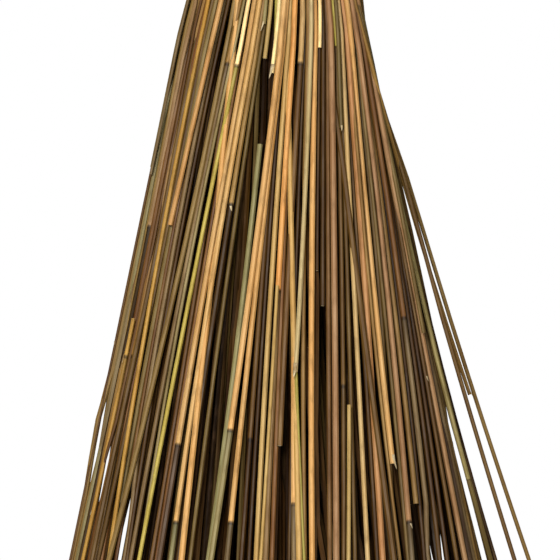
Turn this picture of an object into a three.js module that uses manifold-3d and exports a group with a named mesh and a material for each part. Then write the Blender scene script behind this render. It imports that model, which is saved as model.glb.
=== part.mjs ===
// Free-standing reed torch: a sheaf of dried reed canes bound at the waist round a bamboo
// culm, splayed over a wooden foot, with an oil can held in a steel cup in its flared top.
// Millimetres, +Z up. The origin is the centre of the foot's underside.
import * as THREE from 'three';
import Module from 'manifold-3d';
import { mergeVertices } from 'three/addons/utils/BufferGeometryUtils.js';

const TAU = 2 * Math.PI;

// ---- driving dimensions ----
const FIT_GAP = 0.3;              // left between pieces that touch

const FOOT_RADIUS = 110;          // wooden disc that spreads the canes
const FOOT_HEIGHT = 16;
const FOOT_CHAMFER = 2;
const SOCKET_DEPTH = 10;          // blind hole that the culm is glued into

const POLE_RADIUS = 16;           // bamboo culm
const POLE_BORE = 10.5;
const POLE_TOP = 600;
const POLE_NODE_HEIGHTS = [130, 300, 445];
const POLE_NODE_SWELL = 1.2;
const PLUG_LENGTH = 40;

const GROUND_CLEARANCE = 0.5;     // cut ends of the canes above the ground
const SPLAY_RADIUS = 147;         // sheaf at the ground
const BULGE = { z: 370, r: 68.5 };
const SHOULDER = { z: 458, r: 48.8 };
const WAIST = { low: 495, high: 525, r: 45 };
const CROWN = { z: 672, r: 66 };  // top of the flared canes
const INNER_CONE_TOP = 480;       // below here the canes lean away from the culm
const INNER_FLARE_START = 530;    // above here they spread round the cup

const HANK_COUNT = 12;
const FLUTES_PER_HANK = 3;
const FLUTE_DEPTH = 2.5;

const ROPE_RADIUS = 3.5;          // natural-fibre rope, half its thickness
const WAIST_TURNS = 4;
const TOP_TURNS = 3;
const TOP_ROPE_RADIUS = 2.5;
const TOP_LASHING_Z = 648;
const CANE_SLEEVE = 5.6;          // room for the outer canes under a lashing
const WIRE_RADIUS = 1;
const CANE_STEPS = 16;            // straight lengths that an outer cane is made of

const CUP_BORE = 44.2;
const CUP_WALL = 1.2;
const CUP_HEIGHT = 81;
const CUP_LIP_RADIUS = 52;
const SHEET = 1.4;                // thickness of the pressed steel pieces
const DRIP_PLATE_RADIUS = 78;
const DRIP_RIM_RADIUS = 2.2;

const CAN_RADIUS = 42;
const CAN_HEIGHT = 87.5;
const CAN_FLOOR_LIFT = 6;         // pressed-up floor clears the screw
const CAN_STAND_OFF = 2.3;        // can's base above the cup's underside
const SEAM_RADIUS = 43.2;
const NECK_RADIUS = 19;
const NECK_HEIGHT = 9;

const LID_RADIUS = 22.6;
const LID_SKIRT = 11;
const LID_GRIPS = 18;
const GASKET_THICKNESS = 2.3;

const WICK_RADIUS = 6;
const TUBE_WALL = 1.2;
const TUBE_FLANGE_RADIUS = 13;
const TUBE_BELOW = 24;            // reach of the tube below the lid's top
const TUBE_ABOVE = 22;
const WICK_PROUD = 8;
const WICK_FOOT = 12;             // wick's end above the can's floor

const SNUFFER_HEIGHT = 45;
const KNOB_RADIUS = 7;
const KNOB_HEIGHT = 14;

// Canes that lie on the sheaf, one to each hank. lean is how far the cut end at the ground
// stands off the sheaf, and leaves is the height where the cane parts from it.
const OUTER_CANES = [
  { turn: 2, radius: 1.4, lean: 39, leaves: 395, end: 1 },
  { turn: 34, radius: 1.6, lean: 9, leaves: 300, end: 1 },
  { turn: 63, radius: 1.5, lean: 14, leaves: 330, end: 1 },
  { turn: 96, radius: 1.7, lean: 7, leaves: 280, end: 14 },
  { turn: 124, radius: 1.4, lean: 17, leaves: 350, end: 1 },
  { turn: 152, radius: 1.6, lean: 8, leaves: 290, end: 1 },
  { turn: 184, radius: 1.5, lean: 9, leaves: 310, end: 1 },
  { turn: 211, radius: 1.4, lean: 12, leaves: 320, end: 22 },
  { turn: 243, radius: 1.6, lean: 6, leaves: 260, end: 1 },
  { turn: 276, radius: 1.5, lean: 8, leaves: 270, end: 1 },
  { turn: 303, radius: 1.6, lean: 10, leaves: 310, end: 1 },
  { turn: 349, radius: 1.5, lean: 29, leaves: 380, end: 1 },
];

// ---- materials ----
const finish = (color, roughness, metalness = 0) =>
  new THREE.MeshStandardMaterial({ color, roughness, metalness });

const beech = finish(0x7a5a3a, 0.7);
const bamboo = finish(0xb89a5c, 0.5);
const reed = finish(0x765c3b, 0.5);
const paleReed = finish(0xbc996b, 0.45);
const darkReed = finish(0x513a1d, 0.5);
const rope = finish(0xa98d62, 0.95);
const galvanised = finish(0x8d9194, 0.45, 0.9);
const blackSteel = finish(0x2c2a28, 0.5, 0.6);
const tinplate = finish(0xb4b7b8, 0.3, 0.9);
const brass = finish(0xb08d3e, 0.3, 0.9);
const nitrile = finish(0x1d1d1d, 0.85);
const cotton = finish(0xe6dfce, 0.95);

// ---- geometry helpers ----
const deg = (degrees) => (degrees * Math.PI) / 180;

// Linear reading, at a height inside the list, of { z, r } stations that rise in z.
function radiusAt(stations, z) {
  const above = Math.max(1, stations.findIndex((station) => station.z >= z));
  const low = stations[above - 1];
  const high = stations[above];
  return low.r + ((high.r - low.r) * (z - low.z)) / (high.z - low.z);
}

// Solid of revolution about Z from [r, z] points, either closed or starting and ending on the axis.
function turned(points, segments) {
  const onAxis = points[0][0] === 0 && points[points.length - 1][0] === 0;
  const loop = onAxis ? points : [...points, points[0]];
  const profile = loop.map(([r, z]) => new THREE.Vector2(r, z));
  const geometry = new THREE.LatheGeometry(profile, segments);
  geometry.rotateX(Math.PI / 2);
  return geometry;
}

// Round bar of regular section, swept along a curve.
function swept(curve, radius, sides, steps) {
  const section = new THREE.Shape();
  for (let i = 0; i < sides; i += 1) {
    const angle = (TAU * i) / sides;
    const x = radius * Math.cos(angle);
    const y = radius * Math.sin(angle);
    if (i === 0) section.moveTo(x, y);
    else section.lineTo(x, y);
  }
  section.closePath();
  return new THREE.ExtrudeGeometry(section, { steps, extrudePath: curve, curveSegments: 1 });
}

const wasm = await Module();
wasm.setup();

function toSolid(geometry) {
  const bare = geometry.clone();
  bare.deleteAttribute('normal');
  bare.deleteAttribute('uv');
  const merged = mergeVertices(bare, 1e-4);
  return new wasm.Manifold(new wasm.Mesh({
    numProp: 3,
    vertProperties: Float32Array.from(merged.attributes.position.array),
    triVerts: Uint32Array.from(merged.index.array),
  }));
}

function toGeometry(solid) {
  const mesh = solid.getMesh();
  const geometry = new THREE.BufferGeometry();
  geometry.setAttribute('position', new THREE.BufferAttribute(mesh.vertProperties, 3));
  geometry.setIndex(new THREE.BufferAttribute(mesh.triVerts, 1));
  geometry.computeVertexNormals();
  return geometry;
}

const torch = new THREE.Group();

function add(name, geometry, material) {
  const mesh = new THREE.Mesh(geometry, material);
  mesh.name = name;
  torch.add(mesh);
}

// ---- foot: turned disc with a blind socket for the culm ----
function footDisc() {
  const r = FOOT_RADIUS;
  const socketRadius = POLE_RADIUS + FIT_GAP;
  const socketFloor = FOOT_HEIGHT - SOCKET_DEPTH;
  return turned([
    [0, 0],
    [r - FOOT_CHAMFER, 0],
    [r, FOOT_CHAMFER],
    [r, FOOT_HEIGHT - FOOT_CHAMFER],
    [r - FOOT_CHAMFER, FOOT_HEIGHT],
    [socketRadius, FOOT_HEIGHT],
    [socketRadius, socketFloor],
    [0, socketFloor],
  ], 48);
}

// ---- bamboo culm: tube with a swollen ring at each node, plugged at the top ----
const poleBase = FOOT_HEIGHT - SOCKET_DEPTH + FIT_GAP;

function culm() {
  const ringHalf = 5;
  const outside = [[POLE_RADIUS, poleBase]];
  for (const z of POLE_NODE_HEIGHTS) {
    outside.push([POLE_RADIUS, z - ringHalf]);
    outside.push([POLE_RADIUS + POLE_NODE_SWELL, z]);
    outside.push([POLE_RADIUS, z + ringHalf]);
  }
  outside.push([POLE_RADIUS, POLE_TOP]);
  return turned([[POLE_BORE, poleBase], ...outside, [POLE_BORE, POLE_TOP]], 24);
}

const screwShank = 2.2;
const pilotRadius = screwShank + FIT_GAP;
const plugBase = POLE_TOP - PLUG_LENGTH;
const screwTip = plugBase + 14;

function polePlug() {
  const r = POLE_BORE - FIT_GAP;
  return turned([
    [0, plugBase],
    [r, plugBase],
    [r, POLE_TOP],
    [pilotRadius, POLE_TOP],
    [pilotRadius, screwTip - FIT_GAP],
    [0, screwTip - FIT_GAP],
  ], 20);
}

// ---- sheaf: wedge-shaped hanks of canes, fluted outside, round the culm and the cup ----
const cupRadius = CUP_BORE + CUP_WALL;
const outerStations = [
  { z: GROUND_CLEARANCE, r: SPLAY_RADIUS },
  BULGE,
  SHOULDER,
  { z: WAIST.low, r: WAIST.r },
  { z: WAIST.high, r: WAIST.r },
  CROWN,
];
const innerStations = [
  { z: GROUND_CLEARANCE, r: FOOT_RADIUS + 0.5 },
  { z: FOOT_HEIGHT + 1, r: FOOT_RADIUS + 0.5 },
  { z: INNER_CONE_TOP, r: POLE_RADIUS + 0.5 },
  { z: INNER_FLARE_START, r: POLE_RADIUS + 0.5 },
  { z: 565, r: 33 },
  { z: POLE_TOP, r: cupRadius + 0.6 },
  { z: CROWN.z, r: cupRadius + 0.6 },
];

function hank(index) {
  const sector = TAU / HANK_COUNT;
  const middle = sector * index + sector / 2;
  const columns = 2 * FLUTES_PER_HANK;
  const rim = [
    ...outerStations.map(({ z, r }) => ({ z, r, fluted: true })),
    ...innerStations.map(({ z, r }) => ({ z, r, fluted: false })).reverse(),
  ];
  const positions = [];
  for (let column = 0; column <= columns; column += 1) {
    const across = column / columns - 0.5;
    for (const { z, r, fluted } of rim) {
      const half = sector - 2 * Math.asin((FIT_GAP / 2 + 0.05) / r);
      const angle = middle + across * half;
      const depth = fluted && column % 2 === 0 ? FLUTE_DEPTH : 0;
      positions.push((r - depth) * Math.cos(angle), (r - depth) * Math.sin(angle), z);
    }
  }
  const faces = [];
  const count = rim.length;
  for (let column = 0; column < columns; column += 1) {
    for (let i = 0; i < count; i += 1) {
      const a = column * count + i;
      const b = column * count + ((i + 1) % count);
      faces.push(a, a + count, b, b, a + count, b + count);
    }
  }
  const outline = rim.map(({ z, r }) => new THREE.Vector2(r, z));
  for (const [a, b, c] of THREE.ShapeUtils.triangulateShape(outline, [])) {
    const last = columns * count;
    faces.push(a, b, c);
    faces.push(last + a, last + c, last + b);
  }
  const geometry = new THREE.BufferGeometry();
  geometry.setAttribute('position', new THREE.Float32BufferAttribute(positions, 3));
  geometry.setIndex(faces);
  geometry.computeVertexNormals();
  return geometry;
}

// ---- single canes on the outside of the sheaf, from the crown to the ground ----
function outerCane({ turn, radius, lean, leaves, end }) {
  const heights = [CROWN.z, 600, WAIST.high, WAIST.low, SHOULDER.z, BULGE.z, 280, 190, 100, end];
  const clear = radius / Math.cos(Math.PI / 8) + FIT_GAP + 0.2;
  const points = heights.map((z) => {
    const away = z < leaves ? lean * ((leaves - z) / leaves) ** 1.1 : 0;
    const r = radiusAt(outerStations, z) + clear + away;
    return new THREE.Vector3(r * Math.cos(deg(turn)), r * Math.sin(deg(turn)), z);
  });
  return swept(new THREE.CatmullRomCurve3(points, false, 'centripetal'), radius, 8, CANE_STEPS);
}

// ---- lashings: rope turns side by side, and the wire that holds the waist ----
function lashing(bore, low, turns, ropeRadius) {
  const outside = [];
  for (let turn = 0; turn < turns; turn += 1) {
    const z = low + ropeRadius * (2 * turn + 1);
    outside.push([bore + ropeRadius * 1.2, z - ropeRadius * 0.95]);
    outside.push([bore + ropeRadius * 1.9, z - ropeRadius * 0.45]);
    outside.push([bore + ropeRadius * 1.9, z + ropeRadius * 0.45]);
  }
  const high = low + 2 * ropeRadius * turns;
  outside.push([bore + ropeRadius * 1.2, high - ropeRadius * 0.05]);
  return turned([[bore, low], ...outside, [bore, high]], 24);
}

const sleeveRadius = WAIST.r + CANE_SLEEVE;
const waistRopeLow = (WAIST.low + WAIST.high) / 2 - WAIST_TURNS * ROPE_RADIUS;
const waistRopeHigh = waistRopeLow + 2 * WAIST_TURNS * ROPE_RADIUS;

function bindingWire() {
  const bore = sleeveRadius + 0.6;
  const low = waistRopeHigh + FIT_GAP;
  const side = 2 * WIRE_RADIUS;
  return turned([
    [bore + side * 0.3, low],
    [bore + side * 0.7, low],
    [bore + side, low + side * 0.3],
    [bore + side, low + side * 0.7],
    [bore + side * 0.7, low + side],
    [bore + side * 0.3, low + side],
    [bore, low + side * 0.7],
    [bore, low + side * 0.3],
  ], 24);
}

// ---- cup on the culm, its screw and washer, and the drip plate under its lip ----
const cupFloor = POLE_TOP + FIT_GAP;
const cupTop = cupFloor + CUP_HEIGHT;
const lipUnderside = cupTop - CUP_WALL;
const boltHole = pilotRadius + 0.2;
const washerBase = cupFloor + CUP_WALL + FIT_GAP;
const washerTop = washerBase + 1.2;

function canisterCup() {
  return turned([
    [boltHole, cupFloor],
    [cupRadius - 2, cupFloor],
    [cupRadius, cupFloor + 2],
    [cupRadius, lipUnderside],
    [CUP_LIP_RADIUS, lipUnderside],
    [CUP_LIP_RADIUS, cupTop],
    [CUP_BORE, cupTop],
    [CUP_BORE, cupFloor + CUP_WALL + 1.5],
    [CUP_BORE - 1.5, cupFloor + CUP_WALL],
    [boltHole, cupFloor + CUP_WALL],
  ], 36);
}

function cupWasher() {
  return turned([[boltHole, washerBase], [8, washerBase], [8, washerTop], [boltHole, washerTop]], 20);
}

function cupScrew() {
  const headBase = washerTop + FIT_GAP;
  return turned([
    [0, screwTip],
    [screwShank, screwTip + 4],
    [screwShank, headBase],
    [4.4, headBase],
    [4.2, headBase + 1.2],
    [2.2, headBase + 2.2],
    [0, headBase + 2.4],
  ], 12);
}

function dripPlate() {
  const top = lipUnderside - FIT_GAP;
  const low = top - SHEET;
  const rim = DRIP_RIM_RADIUS;
  const r = DRIP_PLATE_RADIUS;
  return turned([
    [cupRadius + 0.4, low],
    [r - 2 * rim, low],
    [r - 1.6 * rim, low - 0.8 * rim],
    [r - 0.6 * rim, low - 0.8 * rim],
    [r, low],
    [r, low + 0.9 * rim],
    [r - 0.6 * rim, top + 0.3 * rim],
    [r - 1.6 * rim, top],
    [cupRadius + 0.4, top],
  ], 40);
}

// ---- oil can: drawn body with a pressed-up floor, and its seamed shoulder with the neck ----
const canBase = cupFloor + CAN_STAND_OFF;
const canFloorTop = canBase + CAN_FLOOR_LIFT + SHEET;
const canRim = canBase + CAN_HEIGHT;
const neckBase = canRim + 5.8;
const neckTop = neckBase + NECK_HEIGHT;

function canisterBody() {
  const bore = CAN_RADIUS - SHEET;
  return turned([
    [0, canFloorTop - SHEET],
    [33, canFloorTop - SHEET],
    [35.5, canBase],
    [CAN_RADIUS - 2, canBase],
    [CAN_RADIUS, canBase + 2],
    [CAN_RADIUS, canRim],
    [bore, canRim],
    [bore, canBase + SHEET + 1.6],
    [bore - 1, canBase + SHEET],
    [36.6, canBase + SHEET],
    [34.2, canFloorTop],
    [0, canFloorTop],
  ], 36);
}

function canisterTop() {
  const low = canRim + FIT_GAP;
  const neckBore = NECK_RADIUS - SHEET - 0.2;
  return turned([
    [40, low],
    [SEAM_RADIUS, low],
    [SEAM_RADIUS, low + 3.2],
    [SEAM_RADIUS - 1.6, low + 3.2],
    [SEAM_RADIUS - 2.6, low + 1.7],
    [25, low + 3.6],
    [NECK_RADIUS, neckBase],
    [NECK_RADIUS, neckTop],
    [neckBore, neckTop],
    [neckBore, neckBase - 1],
    [24.4, low + 2.1],
  ], 36);
}

// ---- screw lid with its gasket, and the wick tube pressed through it ----
const gasketBase = neckTop + FIT_GAP;
const lidUnderside = gasketBase + GASKET_THICKNESS + FIT_GAP;
const lidTop = lidUnderside + SHEET;
const tubeRadius = WICK_RADIUS + 0.35 + TUBE_WALL;

function lidGasket() {
  const r = NECK_RADIUS - 0.4;
  const high = gasketBase + GASKET_THICKNESS;
  return turned([[12, gasketBase], [r, gasketBase], [r, high], [12, high]], 24);
}

function burnerLid() {
  const bore = NECK_RADIUS + 0.7;
  const low = lidTop - LID_SKIRT;
  const hole = tubeRadius + FIT_GAP;
  let solid = toSolid(turned([
    [hole, lidUnderside],
    [bore, lidUnderside],
    [bore, low],
    [LID_RADIUS, low],
    [LID_RADIUS, lidTop - 1.2],
    [LID_RADIUS - 1.2, lidTop],
    [hole, lidTop],
  ], 36));
  for (let grip = 0; grip < LID_GRIPS; grip += 1) {
    const angle = (TAU * grip) / LID_GRIPS;
    const groove = new THREE.CylinderGeometry(1.2, 1.2, LID_SKIRT - 3, 6);
    groove.rotateX(Math.PI / 2);
    groove.rotateZ(angle);
    const reach = LID_RADIUS + 0.35;
    groove.translate(reach * Math.cos(angle), reach * Math.sin(angle), low + (LID_SKIRT - 3) / 2 + 1);
    solid = solid.subtract(toSolid(groove));
  }
  return toGeometry(solid);
}

const tubeTop = lidTop + TUBE_ABOVE;
const flangeBase = lidTop + FIT_GAP;
const flangeTop = flangeBase + 1.2;

function wickTube() {
  const bore = tubeRadius - TUBE_WALL;
  return turned([
    [bore, lidTop - TUBE_BELOW],
    [tubeRadius, lidTop - TUBE_BELOW],
    [tubeRadius, flangeBase],
    [TUBE_FLANGE_RADIUS, flangeBase],
    [TUBE_FLANGE_RADIUS, flangeTop],
    [tubeRadius, flangeTop],
    [tubeRadius, tubeTop],
    [bore, tubeTop],
  ], 24);
}

function wick() {
  const low = canFloorTop + WICK_FOOT;
  const high = tubeTop + WICK_PROUD;
  return turned([
    [0, low],
    [WICK_RADIUS, low],
    [WICK_RADIUS, high - 1],
    [WICK_RADIUS - 1, high],
    [0, high],
  ], 16);
}

// ---- snuffer: bell-shaped cap with a turned knob held by a screw from inside ----
const snufferBase = flangeTop + FIT_GAP;
const snufferTop = snufferBase + SNUFFER_HEIGHT;
const capHole = 1.7;
const capScrewShank = 1.2;

function snufferCap() {
  const neck = tubeRadius + 3.4;
  const mouth = TUBE_FLANGE_RADIUS - 0.4;
  return turned([
    [mouth - SHEET, snufferBase],
    [mouth, snufferBase],
    [mouth, snufferBase + 3],
    [neck, snufferBase + 6],
    [neck - 0.6, snufferTop - 9],
    [neck - 4, snufferTop - 1.5],
    [4, snufferTop],
    [capHole, snufferTop],
    [capHole, snufferTop - SHEET],
    [4, snufferTop - SHEET],
    [neck - 5, snufferTop - SHEET - 1.6],
    [neck - 2.1, snufferTop - 9.5],
    [neck - SHEET, snufferBase + 6],
    [mouth - SHEET, snufferBase + 2.6],
  ], 28);
}

const knobBase = snufferTop + FIT_GAP;

function snufferKnob() {
  const hole = capScrewShank + FIT_GAP;
  const h = KNOB_HEIGHT;
  return turned([
    [hole, knobBase],
    [4, knobBase],
    [3.6, knobBase + h * 0.18],
    [KNOB_RADIUS, knobBase + h * 0.5],
    [KNOB_RADIUS * 0.9, knobBase + h * 0.74],
    [KNOB_RADIUS * 0.5, knobBase + h * 0.95],
    [0, knobBase + h],
    [0, knobBase + h * 0.72],
    [hole, knobBase + h * 0.72],
  ], 20);
}

function snufferScrew() {
  const headTop = snufferTop - SHEET - FIT_GAP;
  return turned([
    [0, headTop - 1.6],
    [2.6, headTop - 1.2],
    [2.8, headTop],
    [capScrewShank, headTop],
    [capScrewShank, knobBase + KNOB_HEIGHT * 0.62],
    [0, knobBase + KNOB_HEIGHT * 0.68],
  ], 12);
}

// ---- assembly ----
add('base_disc', footDisc(), beech);
add('centre_pole', culm(), bamboo);
add('pole_plug', polePlug(), beech);
for (let i = 0; i < HANK_COUNT; i += 1) {
  add(`reed_hank_${String(i + 1).padStart(2, '0')}`, hank(i), i % 2 ? reed : paleReed);
}
OUTER_CANES.forEach((cane, i) => {
  add(`outer_cane_${String(i + 1).padStart(2, '0')}`, outerCane(cane), i % 3 ? darkReed : paleReed);
});
add('binding_wire', bindingWire(), galvanised);
add('waist_lashing', lashing(sleeveRadius, waistRopeLow, WAIST_TURNS, ROPE_RADIUS), rope);
const topRopeLow = TOP_LASHING_Z - TOP_TURNS * TOP_ROPE_RADIUS;
const topRopeBore = radiusAt(outerStations, topRopeLow + 2 * TOP_TURNS * TOP_ROPE_RADIUS) + CANE_SLEEVE;
add('top_lashing', lashing(topRopeBore, topRopeLow, TOP_TURNS, TOP_ROPE_RADIUS), rope);
add('canister_cup', canisterCup(), blackSteel);
add('drip_plate', dripPlate(), blackSteel);
add('cup_washer', cupWasher(), galvanised);
add('cup_screw', cupScrew(), galvanised);
add('canister_body', canisterBody(), tinplate);
add('canister_top', canisterTop(), tinplate);
add('lid_gasket', lidGasket(), nitrile);
add('burner_lid', burnerLid(), blackSteel);
add('wick_tube', wickTube(), brass);
add('wick', wick(), cotton);
add('snuffer_cap', snufferCap(), blackSteel);
add('snuffer_screw', snufferScrew(), galvanised);
add('snuffer_knob', snufferKnob(), beech);

export default torch;
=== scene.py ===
import math
import bpy
import numpy as np
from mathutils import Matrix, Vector


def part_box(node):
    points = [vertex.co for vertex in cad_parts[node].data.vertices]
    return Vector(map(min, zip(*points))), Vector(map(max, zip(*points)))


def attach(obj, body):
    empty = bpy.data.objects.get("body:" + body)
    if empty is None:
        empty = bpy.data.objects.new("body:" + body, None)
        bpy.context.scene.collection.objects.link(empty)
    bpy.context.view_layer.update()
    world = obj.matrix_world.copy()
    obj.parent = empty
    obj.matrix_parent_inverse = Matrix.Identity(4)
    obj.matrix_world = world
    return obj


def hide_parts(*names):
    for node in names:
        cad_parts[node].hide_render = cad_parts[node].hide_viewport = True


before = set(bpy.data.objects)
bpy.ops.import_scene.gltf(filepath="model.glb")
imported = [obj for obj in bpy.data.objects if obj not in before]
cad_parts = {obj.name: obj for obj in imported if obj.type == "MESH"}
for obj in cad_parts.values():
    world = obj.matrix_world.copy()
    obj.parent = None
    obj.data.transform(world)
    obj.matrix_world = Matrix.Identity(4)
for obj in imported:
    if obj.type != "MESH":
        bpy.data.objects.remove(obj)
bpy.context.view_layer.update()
MM = 0.001

# ------------------------------------------------------------
# Turned foot: a flat beech disc that the splayed canes hide, with a blind socket for the
# culm. It is turned, sanded and left bare, so growth rings show on its broad faces.


def linear(hex_colour):
    """sRGB hex to the linear RGBA that shaders take."""
    channels = [int(hex_colour[i:i + 2], 16) / 255 for i in (1, 3, 5)]
    return (*[c / 12.92 if c <= 0.04045 else ((c + 0.055) / 1.055) ** 2.4 for c in channels], 1.0)


def surface(name):
    """A new material, with its shader ready to be fed."""
    material = bpy.data.materials.new(name)
    material.use_nodes = True
    return material, material.node_tree.nodes["Principled BSDF"]


def feed(material, fed, inputs):
    """Gives each named input of a node its value, a socket, or another node's first output."""
    for key, value in inputs.items():
        if isinstance(value, bpy.types.Node):
            value = value.outputs[0]
        if isinstance(value, bpy.types.NodeSocket):
            material.node_tree.links.new(value, fed.inputs[key])
        else:
            fed.inputs[key].default_value = value


def wire(material, kind, inputs, **settings):
    """Adds a node with its settings, and feeds it."""
    added = material.node_tree.nodes.new("ShaderNode" + kind)
    for name, value in settings.items():
        setattr(added, name, value)
    feed(material, added, inputs)
    return added


def mottled(material, place, noise, clear, full, ground, patch, most=1.0):
    """A noise, and a tone that goes from the ground to the patch colour as it rises."""
    pattern = wire(material, "TexNoise", {"Vector": place, **noise})
    part = wire(material, "MapRange", {"Value": pattern, "From Min": clear, "From Max": full,
        "To Max": most})
    tone = wire(material, "Mix", {0: part, 6: ground, 7: patch}, data_type="RGBA")
    return pattern, tone.outputs[2]


def refinish(node, material):
    """Gives a CAD node's own object the finish that it is really made in."""
    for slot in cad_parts[node].material_slots:
        slot.material = material


# Beech, turned and sanded: pinkish tan, growth rings about 3 mm apart, short dark flecks
# along the grain, which runs along X, and a dull bare surface.
beech, beech_face = surface("sanded beech")
beech_place = wire(beech, "TexCoord", {}).outputs["Object"]
beech_rings = wire(beech, "TexWave", {"Vector": beech_place, "Scale": 105, "Distortion": 4.0,
    "Detail": 3.0, "Detail Scale": 0.5}, bands_direction="Y")
fleck_place = wire(beech, "Mapping", {"Vector": beech_place, "Scale": (160, 1600, 1600)})
beech_tone = wire(beech, "Mix", {0: beech_rings.outputs["Fac"], 6: linear("#a87a4e"),
    7: linear("#bd9163")}, data_type="RGBA")
flecks, beech_colour = mottled(beech, fleck_place, {"Scale": 1.0, "Detail": 2.0}, 0.56, 0.66,
    beech_tone.outputs[2], linear("#6b4526"), most=0.55)
beech_bump = wire(beech, "Bump", {"Height": flecks, "Strength": 0.2, "Distance": 0.2 * MM})
feed(beech, beech_face, {"Base Color": beech_colour, "Roughness": 0.62, "IOR": 1.47,
    "Normal": beech_bump})
refinish("base_disc", beech)

# ------------------------------------------------------------
# Bamboo culm, glued into the foot's socket, and the beech plug in its top end that takes
# the cup's screw. The culm keeps its smooth waxy rind and its swollen nodes.

# Bamboo rind: straw yellow gone brown in streaks along the stem, a little glossy.
bamboo, bamboo_face = surface("weathered bamboo rind")
bamboo_place = wire(bamboo, "TexCoord", {}).outputs["Object"]
rind_place = wire(bamboo, "Mapping", {"Vector": bamboo_place, "Scale": (420, 420, 9)})
rind, rind_colour = mottled(bamboo, rind_place, {"Scale": 1.0, "Detail": 5.0, "Roughness": 0.6},
    0.35, 0.68, linear("#a5813f"), linear("#4a3016"))
rind_bump = wire(bamboo, "Bump", {"Height": rind, "Strength": 0.2, "Distance": 0.2 * MM})
feed(bamboo, bamboo_face, {"Base Color": rind_colour, "Roughness": 0.42, "IOR": 1.5,
    "Normal": rind_bump})
refinish("centre_pole", bamboo)
refinish("pole_plug", beech)

# ------------------------------------------------------------
# Sheaf of dried reed. Several hundred thin canes are bunched round the bamboo culm, tied
# at the waist, and spread below it over the foot and above it round the cup. The canes
# are round, hollow, a little waxy, cut blunt at both ends and never quite straight.

HANKS = [f"reed_hank_{i:02d}" for i in range(1, 13)]
crown_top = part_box(HANKS[0])[1].z
lash_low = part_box("waist_lashing")[0].z
lash_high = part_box("waist_lashing")[1].z

heights = np.linspace(0.0, crown_top, 62)  # where every cane's run is worked out


def blurred(values, reach):
    """Values along the height, averaged over a bell of the given half-width in steps."""
    steps = np.arange(-3 * reach, 3 * reach + 1)
    bell = np.exp(-0.5 * (steps / reach) ** 2)
    padded = np.pad(values, 3 * reach, mode="reflect", reflect_type="odd")
    return np.convolve(padded, bell / bell.sum(), mode="valid")


def outline(*stations):
    """Radius at every height, from (height, radius) stations in millimetres."""
    z, r = np.array(stations).T * MM
    return blurred(np.interp(heights, z, r), 1)


outer_skin = outline((0, 147), (370, 68.5), (458, 48.9), (495, 45.2), (525, 45.2), (672, 66))
inner_skin = outline((0, 113.5), (17, 113.5), (480, 17.5), (528, 17.5), (588, 47.5), (672, 47.5))
tied_limit = outline(
    (0, 230), (240, 150), (400, 80), (458, 54), (492, 50.3), (528, 50.3), (560, 57),
    (634, 68.6), (662, 68.6), (672, 70)
)
# The canes fill both lashings, and are pressed flatter on one side just below the waist.
WAIST_FILL, CROWN_FILL = 4.0 * MM, 4.4 * MM
outer_skin = outer_skin + WAIST_FILL * np.clip((heights - 0.463) / 0.03, 0, 1)
outer_skin = outer_skin + CROWN_FILL * np.clip((heights - 0.56) / 0.07, 0, 1)
SKIN_DEPTH = 4.5 * MM  # the outermost layers of canes, laid one at a time
bed = outer_skin - SKIN_DEPTH
FLAT_DEPTH, FLAT_MIDDLE, FLAT_REACH = 5 * MM, 0.43, 0.045
flat_side = FLAT_DEPTH * np.exp(-(((heights - FLAT_MIDDLE) / FLAT_REACH) ** 2))

# The last tone, near black, is painted shade, used only for canes deep in the sheaf.
REED_TONES = dict(
    cream="#e6cc92", pale="#af9666", straw="#a78b54", yellow="#a09346", gold="#a17d38",
    orange="#b98e55", pink="#9a734c", tan="#806536", russet="#6c4a24", brown="#58401b",
    chestnut="#583b1a", purple="#57402c", grey="#725f3f", moss="#84774d", olive="#635129",
    dark="#3b290f", bark="#432c0a", umber="#3a2405", deep_shade_black="#241402",
)

luck = np.random.RandomState(41)


class Cane:
    """One cane: where it runs at each height, how thick it is, its tones and its ends."""

    def __init__(self, angle, radius, depth, tone, below=None, node=None, ends=None,
                 starts=None, held_x=None, torn=False):
        self.angle = angle
        self.radius = radius
        self.depth = depth
        self.tone = tone
        self.below = below or tone
        self.node = node
        self.low = ends if ends is not None else luck.uniform(1.2, 9) * MM
        self.high = starts if starts is not None else crown_top - luck.uniform(1, 26) * MM
        self.held_x = held_x
        self.torn = torn
        self.fine = True
        self.parted = False
        # Painted shade: 1 for outer canes, less for canes deep in the sheaf, which are darkened.
        self.shade = 1.0

    def at(self, z):
        """Its middle at these heights."""
        return np.array([np.interp(z, heights, self.x), np.interp(z, heights, self.y)])


def through(top, middle, low):
    """A smooth run down the sheaf through readings at 458, 304 and 150 mm up."""
    a, b, c = 458, 304, 150

    def run(z):
        return (
            top * (z - b) * (z - c) / ((a - b) * (a - c))
            + middle * (z - a) * (z - c) / ((b - a) * (b - c))
            + low * (z - a) * (z - b) / ((c - a) * (c - b))
        )

    straight_below = 60
    z = np.clip(heights / MM, straight_below, a)
    slope = run(straight_below + 1) - run(straight_below)
    return run(z) + slope * np.minimum(heights / MM - straight_below, 0)


# Slits seen right through the sides of the sheaf, where outer canes stand off. Each line
# reads: height and distance from the middle plane at its top and at its foot, and width.
SLITS = [
    (250, -92.0, 186, -103.4, 1.9),
    (219, -90.4, 178, -98.4, 1.8),
    (190, -79.6, 128, -90.4, 2.6),
    (250, 88.4, 100, 127.0, 2.8),
    (172, 81.0, 128, 90.0, 1.4),
    (176, 88.2, 128, 94.2, 1.4),
]
slit_lines = []
for high, high_x, low, low_x, wide in SLITS:
    along = np.clip((heights / MM - low) / (high - low), 0, 1)
    slit_lines.append((np.interp(heights / MM, (low, high), (low_x, high_x)) * MM, wide / 2 * MM,
                       np.where(along % 1 > 0, np.abs(np.sin(math.pi * along)) ** 0.4, 0)))
SLIT_LEAN = 1 / 8  # of the slit's own offset, for each metre further back
SLIT_NEIGHBOUR = 6 * MM
PARTED = 0.2 * MM  # pushed further than this, a cane needs its closest rings


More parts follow.
